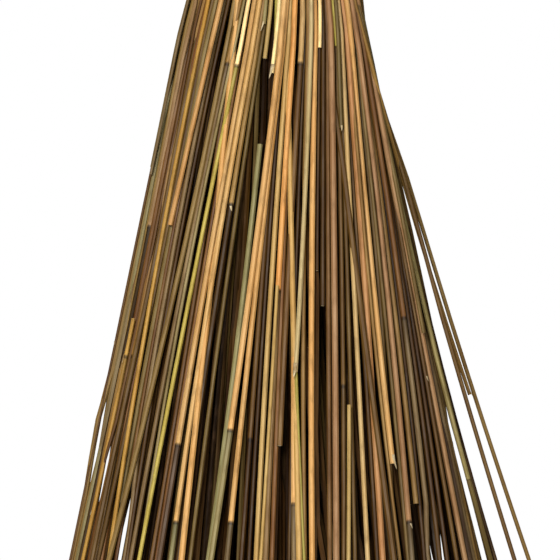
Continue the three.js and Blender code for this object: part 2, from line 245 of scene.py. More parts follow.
def keep_open(cane):
    """Pushes a cane sideways out of the slits."""
    for line, half, part in slit_lines:
        off = cane.x - line * (1 + SLIT_LEAN * cane.y)
        if np.abs(off[part > 0]).min() > SLIT_NEIGHBOUR:
            continue
        side = 1 if np.sum(off * part) > 0 else -1
        push = np.maximum((half + cane.radius) * part - side * off, 0) * (part > 0)
        cane.x = cane.x + side * push
        cane.parted = cane.parted or push.max() > PARTED


placed_x = np.zeros((0, heights.size))
placed_y = np.zeros((0, heights.size))
placed_radius = np.zeros(0)
canes = []


def lay(cane, limit):
    """Lays a cane on those before it: it rests on them, pressed in no further out than limit."""
    global placed_x, placed_y, placed_radius
    reach = cane.depth.copy()
    angle = cane.angle
    for _ in range(3):
        if cane.held_x is not None:
            angle = np.arcsin(np.clip(cane.held_x / reach, -0.998, 0.998)) - math.pi / 2
        ux, uy = np.cos(angle), np.sin(angle)
        along = placed_x * ux + placed_y * uy
        aside = np.abs(placed_x * uy - placed_y * ux)
        room = (placed_radius + cane.radius)[:, None]
        gap = np.hypot(placed_x - reach * ux, placed_y - reach * uy)
        clear = along + np.sqrt(np.maximum(room**2 - aside**2, 0))
        pushed = np.where((gap < room) & (aside < room), clear, 0)
        if len(pushed):
            reach = np.maximum(reach, pushed.max(axis=0))
    lift = reach - cane.depth
    wide = np.maximum(lift, np.maximum(np.roll(lift, 1), np.roll(lift, -1)))
    reach = cane.depth + np.maximum(blurred(wide, 2), 0)
    reach = np.minimum(reach, np.minimum(limit, tied_limit) - cane.radius)
    if cane.held_x is not None:
        angle = np.arcsin(np.clip(cane.held_x / reach, -0.998, 0.998)) - math.pi / 2
    cane.x, cane.y = reach * np.cos(angle), reach * np.sin(angle)
    keep_open(cane)
    placed_x = np.vstack([placed_x, cane.x])
    placed_y = np.vstack([placed_y, cane.y])
    placed_radius = np.append(placed_radius, cane.radius)
    canes.append(cane)


BRIGHT_MIX = dict(straw=4, yellow=2, gold=4, orange=8, pink=5, tan=14, russet=9, brown=14,
                  chestnut=8, purple=9, grey=9, moss=5, olive=10, dark=5)
# Painted shade: canes deep in the sheaf draw from this darker mix, so that the gaps between the
# canes look black.
DEEP_SHADE_MIX = dict(russet=2, brown=6, chestnut=8, grey=4, olive=5, dark=14, deep_shade_black=18, umber=20,
                bark=14)


def random_tone(mix):
    odds = np.array(list(mix.values()), float)
    return list(mix)[luck.choice(len(mix), p=odds / odds.sum())]


# Partings: narrow slots where the canes stand apart and the eye looks deep into the sheaf.
# Each line reads: the slot's middle at 458, 304 and 150 mm up, its half-width at those
# heights, and its depth.
PARTINGS = [
    (25.5, 24.4, 23.8, 0.6, 2.8, 3.2, 17),
    (9.5, 5.0, 3.6, 0.1, 0.4, 3.6, 15),
    (-10.5, -22.6, -32.0, 0.8, 1.6, 1.4, 10),
    (-26.0, -42.0, -61.5, 0.6, 0.9, 1.2, 18),
    (38.0, 43.2, 46.2, 0.2, 0.6, 1.4, 20),
    (42.0, 71.5, 91.5, 0.2, 0.8, 2.4, 20),
    (-40.0, -63.0, -86.5, 0.2, 0.5, 1.6, 18),
]

HEART_CANES = 540
HEART_SHADE = 0.62  # painted shade: the canes inside the sheaf are darkened by this factor
HEART_COVER = 2.6 * MM
below_waist = np.clip((lash_low - heights) / lash_low, 0, 1)
above_waist = np.clip((heights - lash_high) / (crown_top - lash_high), 0, 1)
golden_turn = math.pi * (3 - math.sqrt(5))
bow = np.sin(math.pi * below_waist)
hollow_share = (inner_skin.min() / bed.min()) ** 2
for i in range(HEART_CANES):
    share = math.sqrt(hollow_share + (i + 0.5) / HEART_CANES * (1 - hollow_share))
    out = (share * bed.min() - inner_skin.min()) / (bed.min() - inner_skin.min())
    turn = (i * golden_turn) % (2 * math.pi)
    radius = np.clip(luck.normal(1.33, 0.24), 0.85, 1.9) * MM  # dried reed is 2 to 4 mm thick
    drift = luck.normal(0, 0.055) * below_waist + luck.normal(0, 0.02) * bow
    drift += luck.normal(0, 0.05) * above_waist
    spread = np.clip(out + luck.normal(0, 0.10) * below_waist, 0.0, 1.0)
    side = bed - flat_side * max(0, math.cos(turn))
    depth = inner_skin + radius + spread * (side - inner_skin - 2 * radius)
    angle = turn + drift
    if math.sin(turn) < 0.1 and out > 0.86:
        continue  # the front's own skin is laid cane by cane, further on
    x, y = depth * np.cos(angle), depth * np.sin(angle)
    for top, middle, low, wide_top, wide_middle, wide_low, deep in PARTINGS:
        centre = through(top, middle, low) * MM
        half = np.maximum(through(wide_top, wide_middle, wide_low), 0) * MM + radius
        inside = (np.abs(x - centre) < half) & (y < 0) & (depth > bed - deep * MM)
        pushed = 1 if np.mean(x - centre) > 0 else -1
        x = np.where(inside, centre + pushed * half, x)
    y = np.where(y < 0, -np.sqrt(np.maximum(depth**2 - x**2, 0)), y)
    angle = blurred(np.unwrap(np.arctan2(y, x)), 1)
    # Painted shade: canes deep in the sheaf, and the heart canes of the front half, take the
    # darker mix; only the outer back canes take the bright one.
    mix = BRIGHT_MIX if out > 0.8 and math.sin(turn) > 0.1 else DEEP_SHADE_MIX
    ends = luck.uniform(0.03, 0.40) if luck.rand() < 0.10 else None
    skin = outer_skin - HEART_COVER - flat_side * max(0, math.cos(turn))
    lay(Cane(angle, radius, depth, random_tone(mix), ends=ends), skin)
    canes[-1].fine = canes[-1].parted
    canes[-1].shade = HEART_SHADE

# Short canes tucked into the skirt from below, which fill the hollow round the culm.
SHORT_CANES = 130
for i in range(SHORT_CANES):
    out = luck.uniform(0.0, 0.6)
    radius = luck.uniform(1.0, 1.7) * MM
    angle = np.full_like(heights, i * golden_turn) + luck.normal(0, 0.05) * below_waist
    depth = inner_skin + radius + out * (bed - inner_skin)
    # Like the heart canes, they take the darker mix and are darkened, as painted shade.
    lay(Cane(angle, radius, depth, random_tone(DEEP_SHADE_MIX), starts=luck.uniform(0.30, 0.42)),
        outer_skin - 12 * MM)
    canes[-1].fine = canes[-1].parted
    canes[-1].shade = HEART_SHADE

# Canes of the front, laid on the sheaf one at a time. Each line reads: distance from the
# middle plane at 458, 304 and 150 mm up, thickness, all in millimetres, the tone, the
# layer it lies in, and what is particular to it, such as where it ends or has its node.
FRONT_CANES = [
    (-49.6, -81.6, -113.6, 1.6, "brown", 3, {}),
    (-49.4, -78.6, -109.6, 2.4, "moss", 2, dict(node=430)),
    (-47.5, -76.6, -109.0, 2.3, "tan", 0, {}),
    (-50.4, -81.6, -114.0, 1.6, "olive", 3, dict(ends=366)),
    (-49.6, -81.2, -114.0, 1.5, "grey", 4, dict(ends=362)),
    (-45.5, -75.6, -108.0, 2.7, "pink", 2, dict(node=333, below="umber")),
    (-44.0, -73.4, -102.5, 2.9, "tan", 1, dict(node=437, below="russet")),
    (-42.6, -71.8, -105.0, 1.9, "chestnut", 2, {}),
    (-41.2, -70.6, -99.5, 3.0, "tan", 1, dict(node=262, below="grey")),
    (-39.0, -68.5, -96.0, 2.4, "russet", 0, {}),
    (-37.4, -67.2, -92.0, 2.3, "gold", 4, {}),
    (-46.0, -74.4, -106.4, 2.2, "gold", 5, dict(starts=283, node=262)),
    (-36.0, -65.6, -98.0, 2.5, "brown", 2, {}),
    (-34.0, -63.1, -91.5, 2.8, "tan", 1, dict(node=181, below="brown")),
    (-30.4, -65.3, -101.0, 2.8, "orange", 4, dict(ends=334)),
    (-31.6, -61.6, -88.0, 2.0, "chestnut", 1, {}),
    (-29.0, -59.6, -85.0, 2.5, "grey", 2, {}),
    (-26.4, -57.2, -82.0, 2.2, "bark", 1, {}),
    (-22.6, -54.5, -92.0, 2.9, "tan", 4, {}),
    (-19.6, -51.2, -80.0, 2.5, "tan", 3, dict(node=422, below="grey")),
    (-17.2, -49.4, -75.0, 1.8, "moss", 3, {}),
    (-14.4, -45.8, -75.4, 2.3, "cream", 6, dict(node=421, below="yellow")),
    (-20.5, -43.5, -68.5, 2.4, "chestnut", 1, {}),
    (-14.6, -41.0, -66.0, 2.0, "russet", 3, {}),
    (-11.2, -38.8, -64.4, 3.2, "orange", 5, dict(node=214, below="purple")),
    (-8.4, -35.4, -57.9, 2.8, "orange", 6, dict(node=172, below="moss")),
    (-6.5, -31.5, -54.0, 2.8, "tan", 3, dict(node=345, below="dark")),
    (-4.5, -27.3, -47.5, 2.2, "olive", 2, {}),
    (-5.4, -24.0, -43.0, 2.2, "moss", 7, dict(ends=444)),
    (-2.6, -21.6, -41.0, 2.4, "straw", 7, dict(ends=425)),
    (0.0, -9.4, -30.0, 2.1, "yellow", 6, dict(ends=424)),
    (2.1, -16.0, -34.0, 2.3, "cream", 7, dict(ends=417, torn=True)),
    (-1.5, -17.4, -37.5, 3.0, "moss", 2, dict(starts=378)),
    (4.9, -14.0, -36.2, 3.3, "orange", 5, dict(node=222, below="moss")),
    (6.4, -11.0, -27.4, 3.0, "orange", 4, dict(node=172, below="grey")),
    (3.0, -8.2, -19.6, 2.6, "brown", 1, dict(node=217, below="bark")),
    (5.5, -5.8, -15.4, 2.2, "umber", 0, {}),
    (8.2, -2.9, -11.4, 2.9, "straw", 3, {}),
    (7.8, 0.3, -9.0, 1.9, "straw", 6, dict(starts=301)),
    (10.8, 0.9, -6.3, 3.1, "orange", 5, dict(node=298, below="grey")),
    (9.6, 3.0, -2.9, 2.7, "russet", 2, {}),
    (15.0, 6.0, -1.5, 3.1, "orange", 4, dict(node=422, below="russet", ends=214)),
    (19.4, 13.0, 2.6, 2.5, "pale", 6, dict(ends=254, torn=True)),
    (16.4, 10.2, 6.6, 2.0, "umber", 1, {}),
    (12.5, 9.6, 9.4, 3.2, "orange", 4, dict(node=182, below="grey", starts=262)),
    (7.5, 8.9, 14.8, 1.8, "yellow", 5, dict(starts=260)),
    (17.8, 14.4, 15.2, 2.5, "tan", 4, {}),
    (21.4, 18.9, 19.1, 3.2, "orange", 5, {}),
    (24.2, 20.0, 18.0, 2.0, "cream", 7, dict(ends=431)),
    (23.6, 21.8, 21.5, 1.9, "umber", 2, dict(ends=309)),
    (25.4, 24.9, 24.6, 2.6, "bark", 3, dict(ends=290)),
    (27.6, 28.0, 28.6, 2.6, "russet", 2, {}),
    (29.4, 31.3, 32.2, 3.5, "pink", 3, {}),
    (31.2, 39.6, 46.0, 2.1, "yellow", 7, dict(ends=432)),
    (31.6, 35.4, 36.2, 2.4, "brown", 2, dict(node=246)),
    (32.8, 38.0, 44.0, 2.4, "olive", 5, dict(ends=387)),
    (37.6, 39.2, 38.8, 2.3, "straw", 5, dict(starts=236)),
    (33.8, 38.4, 42.5, 2.2, "brown", 2, {}),
    (34.4, 41.8, 49.4, 2.6, "pale", 4, {}),
    (34.6, 45.0, 54.6, 2.3, "bark", 1, {}),
    (36.6, 47.8, 57.6, 3.4, "pink", 4, {}),
    (37.8, 50.0, 67.0, 1.9, "tan", 4, {}),
    (39.0, 52.4, 69.4, 3.0, "orange", 5, dict(ends=204, torn=True)),
    (38.6, 55.2, 63.5, 2.5, "brown", 2, {}),
    (40.4, 57.0, 71.5, 2.0, "olive", 3, {}),
    (41.4, 59.6, 73.6, 3.0, "pink", 5, dict(node=172, below="grey")),
    (42.0, 62.2, 79.0, 2.9, "tan", 3, dict(ends=182)),
    (41.6, 64.4, 80.5, 2.2, "umber", 1, {}),
    (43.0, 66.6, 84.6, 2.8, "russet", 4, dict(node=283, below="grey")),
    (42.0, 68.5, 89.0, 2.6, "bark", 3, {}),
    (43.0, 70.4, 93.0, 2.5, "umber", 2, {}),
    (44.4, 73.6, 103.0, 3.1, "pink", 4, {}),
    (44.4, 75.0, 101.0, 2.2, "olive", 5, dict(ends=275)),
    (43.8, 72.0, 98.5, 2.3, "brown", 3, {}),
    (44.2, 74.8, 108.0, 2.5, "grey", 2, {}),
    (45.0, 76.8, 116.4, 2.6, "dark", 3, {}),
    (46.0, 78.4, 120.0, 2.4, "dark", 2, {}),
    (45.4, 77.2, 117.4, 2.4, "moss", 4, dict(ends=195)),
    (45.6, 77.4, 117.4, 2.9, "olive", 3, {}),
    (42.5, 85.5, 138.2, 2.2, "tan", 4, dict(ends=241)),
]
skin_at_458 = np.interp(458 * MM, heights, outer_skin)
for top, middle, low, thick, tone, layer, traits in sorted(FRONT_CANES, key=lambda line: line[5]):
    marks = {k: v if k in ("below", "torn") else v * MM for k, v in traits.items()}
    depth = bed - (0.6 - 0.5 * layer) * MM
    held = through(top, middle, low) * MM
    held = blurred(np.where(heights > 458 * MM, top * MM / skin_at_458 * depth, held), 1)
    depth = np.maximum(depth, np.abs(held) * 1.003)
    room = np.maximum(outer_skin + 4.5 * MM, np.abs(held) * 1.003 + thick / 2 * MM)
    lay(Cane(None, thick / 2.1 * MM, depth, tone, held_x=held, **marks), room)

# Canes of the back and flanks, strewn at random over the rest of the skin.
BACK_CANES = 108
for i in range(BACK_CANES):
    turn = math.pi * (-0.09 + 1.18 * (i + luck.uniform(-0.4, 0.4)) / BACK_CANES)
    radius = np.clip(luck.normal(1.38, 0.25), 0.9, 1.85) * MM
    angle = turn + luck.normal(0, 0.09) * below_waist + luck.normal(0, 0.03) * bow
    inset = flat_side * max(0, math.cos(turn))
    stray = abs(luck.normal(0, 3)) * MM * below_waist**1.2 * max(0, math.sin(turn))
    tone = random_tone(BRIGHT_MIX)
    noded = luck.rand() < 0.4
    ends = luck.uniform(0.05, 0.38) if luck.rand() < 0.2 else None
    lay(Cane(
        angle, radius, bed - 0.4 * MM - inset + stray, tone,
        below=random_tone(BRIGHT_MIX) if noded and luck.rand() < 0.6 else None,
        node=luck.uniform(0.1, 0.45) if noded else None, ends=ends,
    ), outer_skin + (3.6 * math.sin(turn) - 2) * MM - inset + stray)

# Short canes that close the two flanks of the flare, their feet held under the waist rope.
FLARE_CANES = 48
FLARE_TONES = ("tan", "brown", "orange", "russet", "grey", "gold", "chestnut", "olive", "pink")
for i in range(FLARE_CANES):
    flank = -1 if i % 2 else 1
    from_front = np.interp(i // 2, (0, FLARE_CANES // 2 - 1), (44, 88)) + 1.4 * math.sin(5.0 * i)
    angle = np.full_like(heights, -math.pi / 2 + flank * math.radians(from_front))
    lay(Cane(angle, (1.15 + 0.1 * (i * 4 % 7)) * MM, bed - 0.6 * MM,
             FLARE_TONES[i * 4 % len(FLARE_TONES)], ends=lash_low + 9 * MM,
             starts=crown_top - (2 + i * 7 % 23) * MM), outer_skin + 0.5 * MM)
    canes[-1].fine = False

PITH_DEPTH = 0.03  # of one ring spacing


def cane_blank(sides, rings):
    """A straight round bar of unit radius, a ring of edges at each unit of its length."""
    bpy.ops.object.select_all(action="DESELECT")
    bpy.ops.mesh.primitive_circle_add(vertices=sides, radius=1, fill_type="NGON")
    blank = bpy.context.object
    bpy.ops.object.mode_set(mode="EDIT")
    bpy.ops.mesh.select_mode(type="FACE")
    for _ in range(rings - 1):
        bpy.ops.mesh.extrude_region_move(TRANSFORM_OT_translate={"value": (0, 0, 1)})
    for end, inward in ((rings - 1, -PITH_DEPTH), (0, PITH_DEPTH)):
        bpy.ops.mesh.select_all(action="DESELECT")
        bpy.ops.object.mode_set(mode="OBJECT")
        for face in blank.data.polygons:
            face.select = abs(face.center.z - end) < 0.01 and abs(face.normal.z) > 0.9
        bpy.ops.object.mode_set(mode="EDIT")
        bpy.ops.mesh.inset(thickness=0.4)
        bpy.ops.mesh.extrude_region_move(TRANSFORM_OT_translate={"value": (0, 0, inward)})
    bpy.ops.object.mode_set(mode="OBJECT")
    return blank


FINE_RINGS = 24
PLAIN_RINGS = 10
fine_blank = cane_blank(7, FINE_RINGS)
plain_blank = cane_blank(6, PLAIN_RINGS)
# Rings lie closest where the canes bend most: at the waist, and beside the slits.
STATIONS = np.array([0, 60, 110, 140, 165, 188, 212, 240, 280, 330, 375, 410, 438, 465, 495, 525,
                     555, 590, 630, 680]) * MM
NODE_STEPS = np.array([-26, -7, -1.5, -0.5, 0.5, 1.6, 9]) * MM
NODE_SWELL, NODE_HALF = 0.10, 1.2 * MM
BLOOM_LENGTH = 26 * MM  # below a node the cane starts darker, and clears over this length
FOOT_GIRTH, TAPER = 1.05, 0.12
# Cut ends show pale pith; on the rest a near-black colour stands for the cane's hollow bore, as
# painted shade.
PITH, BORE_SHADE, PALE_PITH_SHARE = linear("#d9c8a0")[:3], linear("#1c140c")[:3], 0.6


def bend_to(cane):
    """A copy of the blank, bent along the cane's run, with its colours on its points."""
    blank, rings = (fine_blank, FINE_RINGS) if cane.fine else (plain_blank, PLAIN_RINGS)
    bent = blank.copy()
    bent.data = blank.data.copy()
    bpy.context.collection.objects.link(bent)
    shape = np.empty(len(bent.data.vertices) * 3)
    bent.data.vertices.foreach_get("co", shape)
    side, front, ring = shape.reshape(-1, 3).T
    noded = cane.fine and cane.node is not None and cane.low + 0.03 < cane.node < cane.high - 0.02
    numbers = np.arange(len(STATIONS))
    first, last = np.interp((cane.low, cane.high), STATIONS, numbers)
    stops = np.interp(np.linspace(first, last, rings - len(NODE_STEPS) * noded), numbers, STATIONS)
    if noded:
        stops = np.sort(np.append(stops, cane.node + NODE_STEPS))
    z = np.interp(ring, np.arange(rings), stops)
    grown = FOOT_GIRTH - TAPER * z / crown_top
    if noded:
        grown *= 1 + NODE_SWELL * np.exp(-(((z - cane.node) / NODE_HALF) ** 2))
    step = 0.5 * (heights[1] - heights[0])
    place = np.vstack([cane.at(z), z])
    ahead, behind = cane.at(z + step), cane.at(z - step)
    run = np.vstack([(ahead - behind) / (2 * step), np.ones_like(z)])
    run /= np.linalg.norm(run, axis=0)
    across = np.array([1 - run[0] ** 2, -run[0] * run[1], -run[0] * run[2]])
    across /= np.linalg.norm(across, axis=0)
    square = np.cross(run, across, axis=0)
    at = place + cane.radius * grown * (side * across + front * square)
    bent.data.vertices.foreach_set("co", at.T.ravel())

    colour = np.tile(linear(REED_TONES[cane.tone])[:3], (len(z), 1))
    if noded:
        under = np.array(linear(REED_TONES[cane.below])[:3])
        recovery = np.clip((cane.node - z) / BLOOM_LENGTH, 0, 1)[:, None]
        colour = np.where((z < cane.node)[:, None], under * (0.55 + 0.45 * recovery), colour)
        colour[np.abs(z - cane.node) < 0.8 * MM] *= 0.30
        colour[np.abs(z - cane.node - 1.6 * MM) < 0.3 * MM] *= 1.25
    # the near-black end face is painted shade of the cane's hollow bore
    pith_and_bore_shade = np.hypot(side, front) < 0.8
    colour[pith_and_bore_shade] = PITH if luck.rand() < PALE_PITH_SHARE else BORE_SHADE
    warmth, green = luck.normal(0, 0.05), luck.normal(0, 0.015)
    # cane.shade darkens the inner canes as painted shade; the random factor and the warmth are
    # each cane's own tone.
    colour *= cane.shade * luck.uniform(0.86, 1.14) * np.array([1 + warmth, 1 + green, 1 - warmth])
    painted = bent.data.attributes.new("cane_colour", "FLOAT_COLOR", "POINT")
    painted.data.foreach_set("color", np.hstack([colour, np.ones((len(z), 1))]).ravel())
    grain = np.array([side * cane.radius, front * cane.radius, z + luck.uniform(0, 20)])
    fibres = bent.data.attributes.new("cane_grain", "FLOAT_VECTOR", "POINT")
    fibres.data.foreach_set("vector", grain.T.ravel())
    return bent


# Dried reed: a thin waxy silica skin over fibre. It gives a soft, narrow shine down each
# cane, fine streaks along the fibre about 0.5 mm apart, and blotches where it weathered.
reed, reed_skin = surface("dried reed")
tone_of = wire(reed, "Attribute", {}, attribute_name="cane_colour")
grain_of = wire(reed, "Attribute", {}, attribute_name="cane_grain").outputs["Vector"]
streak_place = wire(reed, "VectorMath", {0: grain_of, 1: (1700, 1700, 45)}, operation="MULTIPLY")
streaks = wire(reed, "TexNoise", {"Vector": streak_place, "Scale": 1.0, "Detail": 3.0,
    "Roughness": 0.6})
blotch_place = wire(reed, "VectorMath", {0: grain_of, 1: (260, 260, 75)}, operation="MULTIPLY")
streak_light = wire(reed, "MapRange", {"Value": streaks, "From Min": 0.3, "From Max": 0.7,
    "To Min": 1.16, "To Max": 0.86})
sun_place = wire(reed, "VectorMath", {0: grain_of, 1: (90, 90, 16)}, operation="MULTIPLY")
sunning = wire(reed, "TexNoise", {"Vector": sun_place, "Scale": 1.0, "Detail": 2.0})
sun_light = wire(reed, "MapRange", {"Value": sunning, "From Min": 0.3, "From Max": 0.7,
    "To Min": 1.18, "To Max": 0.88})
worn = wire(reed, "Math", {0: streak_light, 1: sun_light}, operation="MULTIPLY")
streaked = wire(reed, "Gamma", {"Color": tone_of.outputs["Color"], "Gamma": worn})
blotches, stain = mottled(reed, blotch_place, {"Scale": 1.0, "Detail": 4.0, "Roughness": 0.62},
    0.52, 0.76, streaked, linear("#4c3520"), most=0.5)
ribs = wire(reed, "Bump", {"Height": streaks, "Strength": 0.25, "Distance": 0.12 * MM})
gloss = wire(reed, "MapRange", {"Value": blotches, "From Min": 0.3, "From Max": 0.7,
    "To Min": 0.40, "To Max": 0.60})
feed(reed, reed_skin, {"Base Color": stain, "Roughness": gloss, "Normal": ribs, "IOR": 1.5,
    "Specular IOR Level": 0.18})


def pick(*pieces):
    """Leaves only these pieces selected, and the first of them active."""
    bpy.ops.object.select_all(action="DESELECT")
    for piece in pieces:
        piece.select_set(True)
    bpy.context.view_layer.objects.active = pieces[0]


def fit(piece, node, body, material):
    """Finishes a piece: its material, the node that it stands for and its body."""
    piece.data.materials.clear()
    piece.data.materials.append(material)
    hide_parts(node)
    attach(piece, body)


CANE_EDGE = math.radians(50)  # sharper edges, such as those of a cut end, stay crisp
GROUPING_HEIGHT = 250 * MM
HANK_ANGLE = 2 * math.pi / len(HANKS)
hank_of = [int(math.atan2(*cane.at(GROUPING_HEIGHT)[::-1]) % (2 * math.pi) / HANK_ANGLE)
           for cane in canes]
for number, name in enumerate(HANKS):
    bundle = [bend_to(cane) for cane, hank in zip(canes, hank_of) if hank == number]
    pick(*bundle)
    bpy.ops.object.join()
    hank = bundle[0]
    hank.name = f"reed_bundle_{number + 1:02d}"
    bpy.ops.object.shade_smooth_by_angle(angle=CANE_EDGE)
    fit(hank, name, "torch", reed)

# ------------------------------------------------------------
# Single canes that have sprung out of the sheaf. Each is still tied at the waist.

# Each line reads: turn in degrees, radius, how far the foot stands out, the height where
# the cane starts to leave the sheaf, its cut end above the ground, and its tone.
SPRUNG_CANES = [
    (2, 1.15, 44.5, 395, 1, "tan"),
    (34, 1.6, 9, 300, 1, "brown"),
    (63, 1.5, 14, 330, 1, "orange"),
    (96, 1.7, 7, 280, 14, "gold"),
    (124, 1.4, 17, 350, 1, "olive"),
    (152, 1.6, 5, 290, 1, "pink"),
    (184, 1.5, 1, 310, 1, "tan"),
    (211, 1.4, 12, 320, 22, "brown"),
    (243, 1.6, 6, 260, 1, "orange"),
    (276, 1.5, 8, 270, 1, "straw"),
    (303, 1.6, 10, 310, 1, "brown"),
    (349, 1.2, 34.5, 380, 1, "brown"),
]
STRAYS_BEYOND = 20  # a cane that stands out further than this has sprung quite free
for number, (turn, radius, lean, leaves, end, tone) in enumerate(SPRUNG_CANES, start=1):
    stray = lean > STRAYS_BEYOND
    sprung = np.clip((leaves * MM - heights) / (leaves * MM), 0, 1) ** (1.3 if stray else 1.1)
    side = np.where(heights < leaves * MM, outer_skin - 1.5 * MM if stray else bed, bed - 3 * MM)
    depth = blurred(side, 2) + radius * MM + lean * MM * sprung
    cane = Cane(np.full_like(heights, math.radians(turn)), radius * MM, depth, tone,
                ends=(end + 0.5) * MM)
    inset = flat_side * max(0, math.cos(math.radians(turn)))
    room = (0.2 + radius) * MM if stray else -1 * MM
    lay(cane, outer_skin + room - inset + lean * MM * sprung)
    sprung_cane = bend_to(cane)
    pick(sprung_cane)
    bpy.ops.object.shade_smooth_by_angle(angle=CANE_EDGE)
    sprung_cane.name = f"sprung_cane_{number:02d}"
    fit(sprung_cane, f"outer_cane_{number:02d}", "torch",
        reed)

bpy.data.objects.remove(fine_blank)
bpy.data.objects.remove(plain_blank)

# ------------------------------------------------------------
# Scraps of dry leaf sheath. Reed is stripped by hand, and papery white slivers of the leaf
# that wrapped each joint stay on, stuck below the joint or curling away from a cut end.

bpy.ops.object.select_all(action="DESELECT")
bpy.ops.mesh.primitive_grid_add(x_subdivisions=2, y_subdivisions=5, size=1)
scrap_blank = bpy.context.object


def stick_scrap(cane, at, length, curl, width=1.0):
    """A sliver on the cane's outward side, wide where it is stuck and pointed where free."""
    skew = luck.uniform(-0.7, 0.7)
    scrap = scrap_blank.copy()
    scrap.data = scrap_blank.data.copy()
    bpy.context.collection.objects.link(scrap)
    flat = np.empty(len(scrap.data.vertices) * 3)
    scrap.data.vertices.foreach_get("co", flat)
    across, down = flat.reshape(-1, 3).T[:2]
    free = 0.5 - down
    z = at - length * free
    middle = cane.at(z)
    facing = math.atan2(middle[1].mean(), middle[0].mean()) + luck.uniform(-0.7, 0.7)
    turned_by = facing + across * width * (1 - free) ** 0.7 + skew * free
    off = cane.radius * 1.08 + curl * length * free**2
    point = np.array([middle[0] + off * np.cos(turned_by), middle[1] + off * np.sin(turned_by), z])
    scrap.data.vertices.foreach_set("co", point.T.ravel())
    return scrap


scraps = []
for cane in canes:
    if cane.torn:
        scraps.append(stick_scrap(cane, cane.low + 5 * MM, 8 * MM, 0.05, 2.4))
    elif not cane.fine:
        continue
    elif cane.node is not None and luck.rand() < 0.10:
        scraps.append(stick_scrap(cane, cane.node - 0.5 * MM, luck.uniform(2, 7) * MM,
                                  luck.uniform(0.02, 0.14)))
    elif cane.low > 30 * MM and luck.rand() < 0.15:
        scraps.append(stick_scrap(cane, cane.low + 1.5 * MM, luck.uniform(2, 6) * MM,
                                  luck.uniform(0.02, 0.10)))
    elif luck.rand() < 0.07:
        scraps.append(stick_scrap(cane, luck.uniform(0.06, 0.45), luck.uniform(2, 5) * MM,
                                  luck.uniform(0.0, 0.12)))
bpy.data.objects.remove(scrap_blank)
pick(*scraps)
sheath_scraps = scraps[0]
bpy.ops.object.join()
sheath_scraps.name = "sheath_scraps"
skin = sheath_scraps.modifiers.new("skin", "SOLIDIFY")
skin.thickness = 0.12 * MM
skin.offset = 1
bpy.ops.object.modifier_apply(modifier=skin.name)
bpy.ops.object.shade_smooth()

# Dry leaf sheath: papery, dull and off-white, with brown weather stains.
sheath, sheath_face = surface("dry leaf sheath")
sheath_place = wire(sheath, "TexCoord", {}).outputs["Object"]
sheath_tone = mottled(sheath, sheath_place, {"Scale": 240, "Detail": 3.0}, 0.45, 0.68,
    linear("#bfb190"), linear("#8c7650"))[1]
feed(sheath, sheath_face, {"Base Color": sheath_tone, "Roughness": 0.8, "IOR": 1.45})
sheath_scraps.data.materials.append(sheath)
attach(sheath_scraps, "torch")

# ------------------------------------------------------------
# Waist: a ring of galvanised wire bound the canes first, and four turns of rope hide it.
# A second, thinner lashing holds their flared tops against the cup. The rope is of three
# twisted jute strands, and each end is tucked in among the canes.

# Galvanised wire: dull zinc grey with crystal flakes a millimetre or two across.
zinc, zinc_face = surface("galvanised steel")
zinc_place = wire(zinc, "TexCoord", {}).outputs["Object"]
flakes = wire(zinc, "TexVoronoi", {"Vector": zinc_place, "Scale": 700})
flake_tone = wire(zinc, "MapRange", {"Value": flakes, "From Max": 0.7, "To Min": 0.36,
    "To Max": 0.56})
zinc_tone = wire(zinc, "Mix", {0: flakes, 6: linear("#a9adae"), 7: linear("#858a8c")},
    data_type="RGBA")
feed(zinc, zinc_face, {"Base Color": zinc_tone.outputs[2], "Metallic": 1.0,
    "Roughness": flake_tone})
refinish("binding_wire", zinc)

# Jute: dry brown-gold fibre, dull, each strand streaked by yarns that wind round it, with
# darker dirt between the strands.
jute, jute_face = surface("twisted jute")
yarn_place = wire(jute, "Attribute", {}, attribute_name="yarn")
yarn_scaled = wire(jute, "VectorMath", {0: yarn_place.outputs["Vector"], 1: (1500, 1500, 60)},
    operation="MULTIPLY")
yarns, jute_colour = mottled(jute, yarn_scaled, {"Scale": 1.0, "Detail": 4.0, "Roughness": 0.65},
    0.32, 0.68, linear("#6e5432"), linear("#c3a476"))
yarn_bump = wire(jute, "Bump", {"Height": yarns, "Strength": 0.7, "Distance": 0.4 * MM})
feed(jute, jute_face, {"Base Color": jute_colour, "Roughness": 0.92, "Normal": yarn_bump,
    "Sheen Weight": 0.25})

STRANDS, STRAND_SIDES, RINGS_PER_TWIST = 3, 8, 12
ROPE_START = 0.62 * math.pi  # both ends are tucked in at the back


